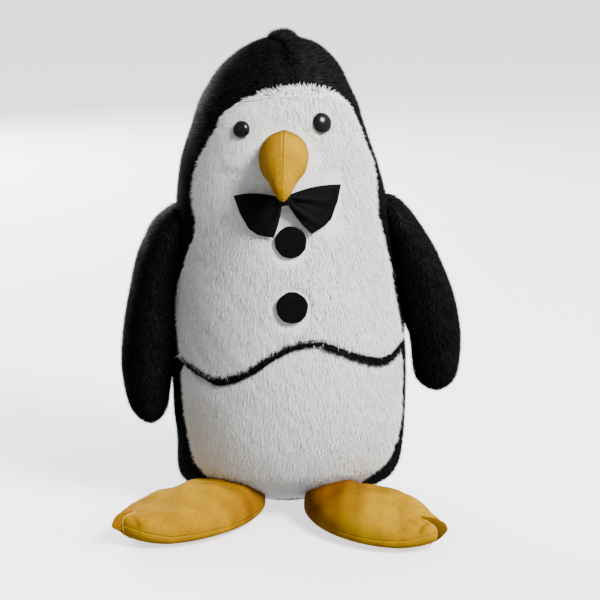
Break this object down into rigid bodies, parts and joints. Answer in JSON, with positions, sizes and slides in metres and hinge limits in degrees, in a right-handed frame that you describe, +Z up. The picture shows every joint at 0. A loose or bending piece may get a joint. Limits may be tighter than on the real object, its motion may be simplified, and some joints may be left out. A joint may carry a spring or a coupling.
{
  "type": "plush penguin",
  "caption": "Sitting plush penguin with white front, black back, yellow cloth beak and feet, black bow tie, felt discs and hanging stuffed flippers.",
  "frame": {"origin": "on the flat base panel, under the middle of the body", "axes": "+Z up from the base, the face looks along -Y, +X to the viewer's right"},
  "size_m": [0.28, 0.2062, 0.3814],
  "materials": {
    "black_plush": "short pile plush",
    "white_plush": "long pile plush",
    "yellow_cloth": "brushed woven cloth",
    "bow_cloth": "woven cloth",
    "black_felt": "felt",
    "eye_plastic": "polished",
    "washer_plastic": "moulded",
    "fibre_filling": "loose fibre"
  },
  "bodies": {
    "torso": {"body_stuffing": "fibre_filling", "back_panel_left": "black_plush", "back_panel_right": "black_plush", "chest_panel": "white_plush", "belly_panel": "white_plush", "hem_strip": "black_plush", "base_panel": "black_plush", "crown_knot": "black_plush", "left_eye": "eye_plastic", "left_eye_washer": "washer_plastic", "right_eye": "eye_plastic", "right_eye_washer": "washer_plastic", "beak_left_panel": "yellow_cloth", "beak_right_panel": "yellow_cloth", "beak_stuffing": "fibre_filling", "bow_left_wing": "bow_cloth", "bow_right_wing": "bow_cloth", "bow_knot": "bow_cloth", "upper_button": "black_felt", "lower_button": "black_felt"},
    "left_flipper": {"left_flipper_outer": "black_plush", "left_flipper_inner": "black_plush", "left_flipper_stuffing": "fibre_filling"},
    "right_flipper": {"right_flipper_outer": "black_plush", "right_flipper_inner": "black_plush", "right_flipper_stuffing": "fibre_filling"},
    "left_foot": {"left_foot_top": "yellow_cloth", "left_foot_sole": "yellow_cloth", "left_foot_stuffing": "fibre_filling"},
    "right_foot": {"right_foot_top": "yellow_cloth", "right_foot_sole": "yellow_cloth", "right_foot_stuffing": "fibre_filling"}
  },
  "joints": [
    {"name": "left_flipper_lift", "type": "hinge", "parent": "torso", "child": "left_flipper", "pos_m": [-0.087, 0, 0.239], "axis": [0, 1, 0], "range_deg": [0, 80]},
    {"name": "right_flipper_lift", "type": "hinge", "parent": "torso", "child": "right_flipper", "pos_m": [0.089, 0, 0.246], "axis": [0, -1, 0], "range_deg": [0, 80]},
    {"name": "left_foot_flex", "type": "hinge", "parent": "torso", "child": "left_foot", "pos_m": [-0.04294, -0.04558, 0.028], "axis": [-0.5446, 0.8387, 0], "range_deg": [0, 15]},
    {"name": "right_foot_flex", "type": "hinge", "parent": "torso", "child": "right_foot", "pos_m": [0.03572, -0.04872, 0.028], "axis": [-0.7071, -0.7071, 0], "range_deg": [0, 15]}
  ]
}
